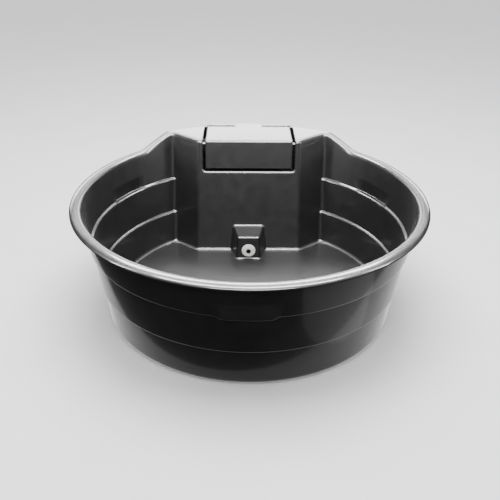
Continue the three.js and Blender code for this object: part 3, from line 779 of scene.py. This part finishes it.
# ---- The trough ----
def back_lip(side):
    """A low rounded lip on the pod's top behind the lid, on one side of the hinge."""
    reach, near = RIM_RADIUS - WALL - 0.5, NOTCH_HALF + 4
    ends = [math.asin(x / reach) for x in (math.sqrt(reach**2 - LIP_REAR**2), LIP_HALF)]
    arc = [(reach * math.sin(t), reach * math.cos(t)) for t in np.linspace(*ends, 7)]
    outline = [(near, LIP_FRONT), (LIP_HALF, LIP_FRONT), *reversed(arc), (near, LIP_REAR)]
    outline = [(side * x, y) for x, y in outline]
    obj = prism("lip", outline, POD_TOP - 2, POD_TOP + LIP_HEIGHT)
    soften(obj, 4.5, 4)
    return settle(obj)


def trough_shell():
    """The moulding, given its thickness, its foot, the parts behind the lid and its holes."""
    sheet = trough_sheet()
    skin = sheet.mesh("trough_shell")
    for vertex in skin.vertices:
        x, y, z = vertex.co / MM
        if math.hypot(x, y) > TWIST_OUTSIDE:
            share = clamp((abs(math.degrees(math.atan2(x, y))) - TWIST_FROM) / TWIST_OVER)
            vertex.co = Matrix.Rotation(-LUG_TWIST * share, 3, "Z") @ vertex.co
    count = len(skin.vertices)
    water = np.empty(count * 3)
    skin.vertices.foreach_get("co", water)
    water = water.reshape(-1, 3) / MM
    obj = new_object("trough_moulding", skin)
    thick = obj.modifiers.new("thickness", "SOLIDIFY")
    thick.thickness = WALL * MM
    thick.offset = -1
    thick.use_even_offset = True
    thick.use_quality_normals = True
    settle(obj)
    border = np.array([p[:2] for p in sheet.border])
    border = np.vstack([border, border * (-1, 1)])
    for i in range(count):
        under = obj.data.vertices[count + i]
        z = under.co.z / MM
        if z > 60:
            continue
        x, y, top = water[i]
        inside = abs(top - FLOOR) < 0.05 and np.min(np.hypot(border[:, 0] - x, border[:, 1] - y)) > 30
        under.co.z = UNDER_FLOOR * MM if inside else max(0.0, (z - 12) * 1.25) * MM
    for side in (-1, 1):
        cheek = sorted((side * (NOTCH_HALF - 0.5), side * (NOTCH_HALF + WALL)))
        rear = math.sqrt((RIM_RADIUS - 4) ** 2 - (NOTCH_HALF + WALL) ** 2)
        add(obj, brick("cheek", *cheek, CHAMBER_BACK + 2, rear, NOTCH_FLOOR, POD_TOP - 2))
        rest = sorted(side * x for x in REST_X)
        add(obj, brick("rest", *rest, *REST_Y, *REST_Z))
        add(obj, back_lip(side))
    drill(obj, "x", 5.3, -120, 120, *HINGE, 32)
    drill(obj, "x", 14, -300, -262, *LINE, 48)
    drill(obj, "y", 33.3, 350, 385, *DRAIN, 96)
    soften(obj, 1.6, 2, 55)
    smooth(obj)
    return obj


trough = trough_shell()
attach(trough, "trough")
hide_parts("trough_shell")

# ---- The lid ----
LID_HALF, LID_BACK, LID_BOTTOM, LID_SKIN, LID_SKIRT = 255.0, 826.0, 519.0, 5.0, 35.0
TONGUE_HALF = 76.0


def lid_line(depth):
    """The lid's side view at a depth under its face: its foot, the corner and its back."""
    z = POD_TOP - depth
    slant = depth * math.hypot(1, LEAN)

    def front(height):
        return POD_FRONT[0] + LEAN * (height - FLOOR) + slant

    return [(front(LID_BOTTOM), LID_BOTTOM), (front(z), z), (LID_BACK, z)]


def round_lid_edges(bm):
    """Rounds the lid's long edges, inside and outside. A section's corners 1 and 2 are on its
    face, 5 and 6 under it, and the next section's numbers are 8 higher."""

    def along(a, b):
        chain = {a, b, a + 8, b + 8, a + 16, b + 16}
        found = [(e, {v.index for v in e.verts}) for e in bm.edges]
        return [e for e, ends in found if ends <= chain and ends not in ({a, b}, {a + 16, b + 16})]

    inner, outer = along(5, 6), along(1, 2)
    for edges, radius, segments in ((inner, 8, 4), (outer, 13, 7)):
        edges = [e for e in edges if e.is_valid]
        sizes = {"offset": radius * MM, "segments": segments, "profile": 0.5}
        bmesh.ops.bevel(bm, geom=edges, affect="EDGES", clamp_overlap=True, **sizes)


def valve_lid():
    section = [(-LID_HALF, LID_SKIRT), (-LID_HALF, 0), (LID_HALF, 0), (LID_HALF, LID_SKIRT)]
    inside = LID_HALF - LID_SKIN
    section += [(inside, LID_SKIRT), (inside, LID_SKIN), (-inside, LID_SKIN), (-inside, LID_SKIRT)]
    places = [(x, *lid_line(depth)[k]) for k in range(3) for x, depth in section]
    faces = [range(8), range(16, 24)]
    for k in (0, 8):
        faces += [(k + i, k + (i + 1) % 8, k + 8 + (i + 1) % 8, k + 8 + i) for i in range(8)]
    mesh = mesh_of("valve_lid_piece", places, faces)
    obj = new_object("valve_lid_piece", edited(mesh, round_lid_edges))
    turns = np.linspace(-1, 1, 9) * math.asin(TONGUE_HALF / RIM_RADIUS)
    rear = [(RIM_RADIUS * math.sin(t), RIM_RADIUS * math.cos(t)) for t in turns]
    outline = [(-TONGUE_HALF, 800), *rear, (TONGUE_HALF, 800)]
    add(obj, prism("tongue", outline, POD_TOP - 6, POD_TOP))
    across = (-TONGUE_HALF, TONGUE_HALF)
    web = brick("web", *across, HINGE[0] - 6, HINGE[0] + 6, HINGE[1], POD_TOP - 3)
    add(obj, web)
    add(obj, turned("knuckle", "x", [(11, x) for x in across], *HINGE, 48))
    drill(obj, "x", 5.3, -90, 90, *HINGE, 32)
    soften(obj, 1.5, 3, 40)
    return smooth(obj)


lid = valve_lid()
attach(lid, "lid")
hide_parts("valve_lid")

# ---- Materials ----
class Look:
    """A node-based material, built up step by step on one Principled shader."""

    def __init__(self, name, **settings):
        self.material = bpy.data.materials.new(name)
        self.material.use_nodes = True
        self.tree = self.material.node_tree
        self.shader = self.tree.nodes["Principled BSDF"]
        self.place = self.node("ShaderNodeTexCoord").outputs["Object"]
        for key, value in settings.items():
            self.shader.inputs[key.replace("_", " ")].default_value = value

    def node(self, kind, **values):
        made = self.tree.nodes.new(kind)
        for key, value in values.items():
            setattr(made, key, value)
        return made

    def join(self, a, b):
        self.tree.links.new(a, b)

    def noise(self, scale, detail=4.0, rough=0.55, stretch=None):
        place = self.place
        if stretch:
            mapping = self.node("ShaderNodeMapping")
            mapping.inputs["Scale"].default_value = stretch
            self.join(place, mapping.inputs["Vector"])
            place = mapping.outputs["Vector"]
        made = self.node("ShaderNodeTexNoise")
        self.join(place, made.inputs["Vector"])
        made.inputs["Scale"].default_value = scale
        made.inputs["Detail"].default_value = detail
        made.inputs["Roughness"].default_value = rough
        return made.outputs["Fac"]

    def spread(self, value, low, high, to_low, to_high):
        made = self.node("ShaderNodeMapRange")
        self.join(value, made.inputs["Value"])
        ends = {"From Min": low, "From Max": high, "To Min": to_low, "To Max": to_high}
        for key, number in ends.items():
            made.inputs[key].default_value = number
        return made.outputs["Result"]

    def colours(self, value, dark, light):
        made = self.node("ShaderNodeValToRGB")
        for element, at, colour in zip(made.color_ramp.elements, (0.3, 0.7), (dark, light)):
            element.position = at
            element.color = (*colour, 1)
        self.join(value, made.inputs["Fac"])
        return made.outputs["Color"]

    def base(self, colour):
        self.join(colour, self.shader.inputs["Base Color"])

    def rough(self, value, low, high, edges=(0.3, 0.7)):
        self.join(self.spread(value, *edges, low, high), self.shader.inputs["Roughness"])

    def bumps(self, *layers):
        """Bumps from (value, strength, height in millimetres), one on top of the other."""
        last = None
        for value, strength, height in layers:
            made = self.node("ShaderNodeBump")
            made.inputs["Strength"].default_value = strength
            made.inputs["Distance"].default_value = height * MM
            self.join(value, made.inputs["Height"])
            if last is not None:
                self.join(last, made.inputs["Normal"])
            last = made.outputs["Normal"]
        self.join(last, self.shader.inputs["Normal"])


def polyethylene(name):
    look = Look(name, IOR=1.2, Coat_Weight=1.0, Coat_IOR=1.16, Coat_Roughness=0.12)
    look.base(look.colours(look.noise(7, 5), (0.0035, 0.0035, 0.0037), (0.0055, 0.0055, 0.0058)))
    look.rough(look.noise(18, 6, 0.6), 0.39, 0.45)
    look.bumps((look.noise(4, 2), 0.3, 1.0), (look.noise(420, 3), 0.05, 0.06))
    return look.material


def paint(obj, material):
    obj.data.materials.clear()
    obj.data.materials.append(material)


def moulded_white(name, centre=None, reach=0.0):
    """White nylon, painted dark near a line along y through a centre if there is one: painted shade
    for a recess.
    """
    look = Look(name, IOR=1.5, Subsurface_Weight=0.05)
    colour = look.colours(look.noise(60, 4), (0.72, 0.72, 0.7), (0.8, 0.8, 0.78))
    if centre:
        flat = look.node("ShaderNodeMapping")
        flat.inputs["Scale"].default_value = (1, 0, 1)
        look.join(look.place, flat.inputs["Vector"])
        away = look.node("ShaderNodeVectorMath", operation="DISTANCE")
        look.join(flat.outputs["Vector"], away.inputs[0])
        away.inputs[1].default_value = centre
        mixed = look.node("ShaderNodeMix", data_type="RGBA")
        share = look.spread(away.outputs["Value"], reach - 0.6 * MM, reach, 0, 1)
        look.join(share, mixed.inputs["Factor"])
        # Painted shade: inside reach of the line, the socket's faces get this near-black colour.
        mixed.inputs[6].default_value = (0.02, 0.02, 0.02, 1)
        look.join(colour, mixed.inputs[7])
        colour = mixed.outputs[2]
    look.base(colour)
    look.rough(look.noise(240, 4), 0.3, 0.42)
    look.bumps((look.noise(900, 3), 0.15, 0.08))
    return look.material


def rubber(name):
    look = Look(name, IOR=1.5)
    look.base(look.colours(look.noise(90, 4), (0.012, 0.012, 0.012), (0.025, 0.025, 0.026)))
    look.rough(look.noise(300, 4), 0.65, 0.8)
    look.bumps((look.noise(1500, 3), 0.3, 0.08))
    return look.material


def metal(name, dark, light, low, high, brushed):
    look = Look(name, Metallic=1.0)
    look.base(look.colours(look.noise(45, 5), dark, light))
    look.rough(look.noise(160, 5, 0.6, brushed), low, high, (0.25, 0.75))
    look.bumps((look.noise(260, 3, 0.6, brushed), 0.12, 0.05))
    return look.material


def plastic(name, dark, light):
    look = Look(name, IOR=1.5)
    look.base(look.colours(look.noise(20, 4), dark, light))
    look.rough(look.noise(60, 4), 0.28, 0.4)
    look.bumps((look.noise(700, 3), 0.12, 0.08))
    return look.material


brushed = (0.15, 1, 1)
LOOKS = {
    "polyethylene": polyethylene("black polyethylene"),
    "white_nylon": moulded_white("white nylon"),
    "rubber": rubber("rubber"),
    "brass": metal("brass", (0.3, 0.2, 0.08), (0.46, 0.32, 0.13), 0.3, 0.42, (1, 1, 1)),
    "stainless": metal("stainless steel", (0.5, 0.51, 0.52), (0.6, 0.61, 0.62), 0.22, 0.34, brushed),
    "float_plastic": plastic("orange plastic", (0.56, 0.075, 0.01), (0.64, 0.1, 0.014)),
    "black_nylon": plastic("black nylon", (0.012, 0.012, 0.012), (0.02, 0.02, 0.021)),
}
paint(trough, LOOKS["polyethylene"])
paint(lid, LOOKS["polyethylene"])


def fit(obj, node, slot, body, edge=0.0):
    """Makes a piece stand for a node of the frame, with its edges rounded."""
    obj.name = obj.data.name = node + "_piece"
    if edge:
        soften(obj, edge, 2, 35)
    smooth(obj)
    paint(obj, LOOKS[slot])
    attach(obj, body)
    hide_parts(node)
    return obj


def screw(start, end, pitch, depth, above):
    """A thread between two places along the axis, on the surfaces outside a radius."""

    def shape(r, a, share):
        if r < above or not start <= a <= end:
            return r
        wave = abs(((a / pitch - share) % 1.0) - 0.5) * 2
        return r - depth * clamp(min(a - start, end - a) / pitch) * (1 - wave)

    return shape


def nut(name, axis, flats, bore, start, end, u, v):
    """A hexagon nut with its corners turned off at both ends."""
    tall = flats / math.sqrt(3)
    blank = turned(name, axis, [(tall, start), (tall, end)], u, v, 6, phase=math.pi / 6)
    slope = (tall - flats / 2) * 0.55
    ends = [(0, start), (flats / 2 - 0.3, start), (tall + 0.1, start + slope)]
    ends += [(tall + 0.1, end - slope), (flats / 2 - 0.3, end), (0, end)]
    combine(blank, turned("turn", axis, ends, u, v, 96), "INTERSECT")
    return drill(blank, axis, bore, start - 1, end + 1, u, v, 64)


def washer(name, axis, radius, bore, start, end, u, v, edge=0.6, around=96):
    profile = [(bore, start), (radius, start), (radius, end), (bore, end)]
    return turned(name, axis, soft_profile(profile, [edge] * 4, 4, True), u, v, around, ring=True)


# ---- The hinge ----
pin = rod("pin", "x", 5, -95, 95, 1.2, 1.2, *HINGE, 48)
fit(pin, "hinge_pin", "stainless", "trough")
for side, name in ((-1, "hinge_clip_left"), (1, "hinge_clip_right")):
    near, far = sorted((side * 88.3, side * 89.8))
    fit(washer(name, "x", 10, 5.15, near, far, *HINGE, 0.4, 48), name, "stainless", "trough")

# ---- The drain ----
gasket = washer("gasket", "y", 38, 33.3, 360.7, 363.7, *DRAIN, 0.8)
fit(gasket, "drain_gasket", "rubber", "trough")
bush_line = [(28.4, 355.4), (40, 355.4), (40, 360.4), (33, 360.4), (33, 386.4), (28.4, 386.4)]
bush_line = soft_profile(bush_line, [1.2, 2.2, 0.8, 0.4, 0.8, 0.8], 4, True)
bush_line = fine([*bush_line, bush_line[0]], 0.7)[:-1]
bush = turned("bush", "y", bush_line, *DRAIN, 96, True, screw(362, 386, 2.3, 1.0, 30))
fit(bush, "drain_bush", "white_nylon", "trough")
back_nut = nut("back_nut", "y", 82, 33.3, 372.3, 382.3, *DRAIN)
fit(back_nut, "drain_bush_nut", "white_nylon", "trough", 0.6)
seal = washer("seal", "y", 31.5, 28.7, 352.6, 355.1, *DRAIN, 1.0)
fit(seal, "drain_plug_seal", "rubber", "plug_seal")


def drain_plug():
    line = [(0, 346.3), (32, 346.3), (32, 352.3), (28, 352.3), (28, 382.3), (0, 382.3)]
    line = fine(soft_profile(line, [0, 2.6, 0.8, 0.3, 1.5, 0], 5), 0.7)
    obj = turned("plug", "y", line, *DRAIN, 96, shape=screw(354, 381, 2.3, 0.9, 25))
    mouth = [(0, 340), (15.4, 340), (15.4, 346.3), (12.9, 348.2), (0, 348.2)]
    cut(obj, turned("mouth", "y", mouth, *DRAIN, 96))
    across = 24 / math.sqrt(3)
    return drill(obj, "y", across, 344, 376.3, *DRAIN, 6, math.pi / 6)


# The plug's socket gets painted shade: a dark colour within 15.2 mm of the drain's axis.
plug_look_with_painted_shade = moulded_white("white nylon with painted shade in the socket", (0, 0, DRAIN[1] * MM), 15.2 * MM)
paint(fit(drain_plug(), "drain_plug", "white_nylon", "plug", 0.5), plug_look_with_painted_shade)

# ---- The float valve ----
PIVOT = (-150.0, 594.0)
SWING = math.radians(13)
TRAVEL = (LINE[1] - PIVOT[1]) * SWING
SPOUT_X = -197.0


def valve_body():
    line = [(0, -335), (13.2, -335), (13.2, -249), (16, -249), (16, -239)]
    line += [(17, -239), (17, -129), (0, -129)]
    line = fine(soft_profile(line, [0, 1, 0, 0, 0, 1.5, 1, 0]), 0.8)
    obj = turned("body", "x", line, *LINE, 64, shape=screw(-333, -252, 1.8, 0.8, 12))
    hexagon = nut("shoulder", "x", 38, 4, -250, -238, *LINE)
    add(obj, hexagon)
    add(obj, rod("spout", "z", 12, 556, 612, 1.2, 0, SPOUT_X, LINE[0], 48))
    ring = soft_profile([(0, 590), (14.5, 592), (14.5, 604), (0, 606)], [0, 2, 2, 0])
    add(obj, turned("collar", "z", ring, SPOUT_X, LINE[0], 48))
    for side in (-1, 1):
        a, b = sorted((LINE[0] + side * 5, LINE[0] + side * 10))
        add(obj, brick("ear", PIVOT[0] - 9, PIVOT[0] + 9, a, b, 585, 606, 1.2))
    drill(obj, "x", 8, -336, -204, *LINE, 48)
    drill(obj, "x", 10.3, -205, -128, *LINE, 64)
    drill(obj, "z", 8, 555, LINE[1], SPOUT_X, LINE[0], 48)
    slot = brick("slot", PIVOT[0] - 10, PIVOT[0] + 10, LINE[0] - 4.5, LINE[0] + 4.5, 574, LINE[1])
    cut(obj, slot)
    return drill(obj, "y", 2.8, LINE[0] - 20, LINE[0] + 20, *PIVOT, 32)


def barrel_cap():
    line = soft_profile([(0, -138), (20, -138), (20, -121), (0, -121)], [0, 1.5, 2, 0])

    def knurl(r, a, share):
        edge = clamp(min(a + 137, -122.5 - a) / 2)
        return r - (0.9 * edge * (0.5 - 0.5 * math.cos(share * 48 * math.pi)) if r > 18 else 0)

    obj = turned("cap", "x", fine(line, 1.2), *LINE, 192, shape=knurl)
    drill(obj, "x", 17.3, -140, -128.7, *LINE, 64)
    slot = brick("slot", -140, -128.7, LINE[0] - 6, LINE[0] + 6, LINE[1] - 30, LINE[1] - 10)
    return cut(obj, slot)


def piston():
    face = -203 + 0.3 + TRAVEL + 0.8
    obj = rod("piston", "x", 9.8, face, face + 55, 0.6, 1, *LINE, 64)
    drill(obj, "x", 7.8, face - 1, face + 3, *LINE, 48)
    at = PIVOT[0] + TRAVEL / 2
    slot = brick("slot", at - 4, at + 4, LINE[0] - 4.5, LINE[0] + 4.5, LINE[1] - 15, LINE[1] + 5)
    return cut(obj, slot), rod("disc", "x", 7.5, face - 0.8, face + 2.7, 0.5, 0.5, *LINE, 48)


def hung(obj):
    """Puts a piece made level, with the pivot at the origin, where the empty trough's arm is."""
    place = Vector((PIVOT[0] * MM, LINE[0] * MM, PIVOT[1] * MM))
    obj.data.transform(Matrix.Translation(place) @ Matrix.Rotation(SWING / 2, 4, "Y"))
    return obj


def float_arm():
    obj = rod("hub", "y", 7, -4.2, 4.2, 0.6, 0.6, 0, 0, 48)
    add(obj, brick("finger", -2.2, 2.2, -3.2, 3.2, 0, 24, 0.5))
    add(obj, rod("tip", "y", 3.5, -3.2, 3.2, 0.5, 0.5, 0, 24, 32))
    add(obj, brick("block", -6, 14, -4.2, 4.2, -13, -1, 1.0))
    line = fine(soft_profile([(0, 10), (4, 10), (4, 240), (0, 240)], [0, 0, 0.6, 0]), 1.0)
    add(obj, turned("rod", "x", line, 0, -8, 32, shape=screw(196, 239, 1.25, 0.6, 3)))
    return drill(obj, "y", 2.8, -10, 10, 0, 0, 24)


def float_ball():
    line = [(0, 220), *soft_profile([(0, 220), (10, 220), (10, 240)], [0, 1.5, 0])[1:-1]]
    start = math.acos(math.sqrt(48**2 - 12**2) / 48)
    for k in range(49):
        turn = lerp(start, math.pi, k / 48)
        seam = 0.5 * math.exp(-(((turn - math.pi / 2) / 0.03) ** 2)) - 0.5
        line.append(((48 + seam) * math.sin(turn), 270 - (48 + seam) * math.cos(turn)))
    line[-1] = (0, line[-1][1])
    obj = turned("ball", "x", line, 0, -8, 96)
    return drill(obj, "x", 4.3, 219, 241, 0, -8, 32)


fit(valve_body(), "valve_body", "brass", "trough", 0.4)
seat = washer("seat", "x", 7.8, 4.5, -226, -203, *LINE, 0.6, 48)
fit(seat, "valve_seat", "white_nylon", "trough")
fit(barrel_cap(), "valve_barrel_cap", "brass", "trough")
for name, start in (("inner", -267.7), ("outer", -279.3)):
    disc = washer(name, "x", 20, 13.5, start, start + 3, *LINE)
    fit(disc, f"tail_washer_{name}", "rubber", "trough")
for name, start in (("inner", -264.4), ("outer", -288.6)):
    made = nut(name, "x", 36, 13.5, start, start + 9, *LINE)
    fit(made, f"tail_nut_{name}", "black_nylon", "trough", 0.3)
pivot = rod("pivot", "y", 2.5, 720, 750, 0.5, 0.5, *PIVOT, 32)
fit(pivot, "arm_pivot_pin", "stainless", "trough")
plunger, plunger_washer = piston()
fit(plunger, "piston", "brass", "valve_piston")
fit(plunger_washer, "piston_washer", "rubber", "valve_piston")
fit(hung(float_arm()), "float_arm", "brass", "arm", 0.2)
fit(hung(float_ball()), "float", "float_plastic", "arm")
lock = nut("lock", "x", 13, 4.15, 213.7, 219.7, 0, -8)
fit(hung(lock), "float_lock_nut", "brass", "arm", 0.2)

# ---- The floor, the light and the camera ----
def studio():
    look = Look("pale floor", Specular_IOR_Level=0.0)
    look.base(look.colours(look.noise(3, 3), (0.76, 0.76, 0.76), (0.79, 0.79, 0.79)))
    look.rough(look.noise(9, 4), 0.55, 0.65)
    look.bumps((look.noise(160, 3), 0.1, 0.3))
    places = [(x, y, 0) for y in (-30000, 30000) for x in (-30000, 30000)]
    floor = new_object("floor", mesh_of("floor", places, [(0, 1, 3, 2)]))
    floor.location.z = -0.5 * MM
    floor.visible_glossy = False
    paint(floor, look.material)

    world = bpy.data.worlds.new("studio")
    bpy.context.scene.world = world
    world.use_nodes = True
    sky = world.node_tree.nodes["Background"]
    sky.inputs["Color"].default_value = (1, 1, 1, 1)
    sky.inputs["Strength"].default_value = 1.3
    world.cycles_visibility.glossy = False

    shell = bpy.data.collections.new("black plastic")
    for obj in (trough, lid):
        shell.objects.link(obj)

    def panel_light(name, place, aim, width, height, radiance, for_shell=True, shape="RECTANGLE"):
        """A soft box, in metres. All but the key only make highlights on the black plastic."""
        light = bpy.data.lights.new(name, "AREA")
        light.shape = shape
        light.size, light.size_y = width, height
        area = width * height * (math.pi / 4 if shape == "ELLIPSE" else 1)
        light.energy = radiance * math.pi * area
        obj = bpy.data.objects.new(name, light)
        bpy.context.scene.collection.objects.link(obj)
        obj.location = place
        obj.rotation_euler = (Vector(aim) - Vector(place)).to_track_quat("-Z", "Y").to_euler()
        if for_shell:
            obj.light_linking.receiver_collection = shell
            obj.visible_diffuse = False
            obj.visible_camera = False
        else:
            obj.visible_glossy = False

    panel_light("key", (0, 0.2, 4.4), (0, 0, 0), 3.5, 3.5, 13, False)
    panel_light("back low", (0, 2.6, 1.3), (0, 0.7, 0.68), 5.5, 0.36, 25)
    panel_light("back high", (0, 2.7, 2.4), (0, -0.2, 0.1), 6, 0.6, 6)
    panel_light("overhead back", (0, 2.1, 3.4), (0, 0.2, 0), 4, 0.8, 230)
    panel_light("overhead front", (0, -0.6, 3.4), (0, 0.5, 0.6), 4, 0.6, 560)
    panel_light("front", (0, -4.2, 3.6), (0, 0.5, 0.3), 4, 0.8, 260)
    panel_light("left", (-3.2, -0.9, 1.9), (0, 0, 0.3), 0.4, 2.2, 200)
    panel_light("right", (3.2, -0.9, 1.9), (0, 0, 0.3), 0.4, 2.2, 200)
    # What the black plastic mirrors of the floor: a glow round the foot, wider at the sides.
    for name, x, y, z, width, depth, radiance in (
        ("floor glow", 0.15, 0.53, -0.0003, 2.74, 2.74, 1.6),
        ("floor glow right", 1.05, -0.95, -0.0002, 1.2, 0.9, 1.1),
    ):
        panel_light(name, (x, y, z), (x, y, 1), width, depth, radiance, shape="ELLIPSE")


def main_camera():
    elevation, yaw, roll = math.radians(28.784), math.radians(-0.8), math.radians(0.564)
    distance, target = 3.4824, Vector((0, 0, 0.305))
    level = math.cos(elevation)
    back = Vector((math.sin(yaw) * level, -math.cos(yaw) * level, math.sin(elevation)))
    camera = bpy.data.cameras.new("camera")
    camera.lens = 47.489
    camera.sensor_width = 36
    camera.shift_x, camera.shift_y = 0.001234, -0.0079
    camera.clip_start, camera.clip_end = 0.05, 100
    obj = bpy.data.objects.new("camera", camera)
    bpy.context.scene.collection.objects.link(obj)
    turn = (-back).to_track_quat("-Z", "Y").to_matrix() @ Matrix.Rotation(roll, 3, "Z")
    obj.matrix_world = Matrix.Translation(target + back * distance) @ turn.to_4x4()
    bpy.context.scene.camera = obj


studio()
main_camera()
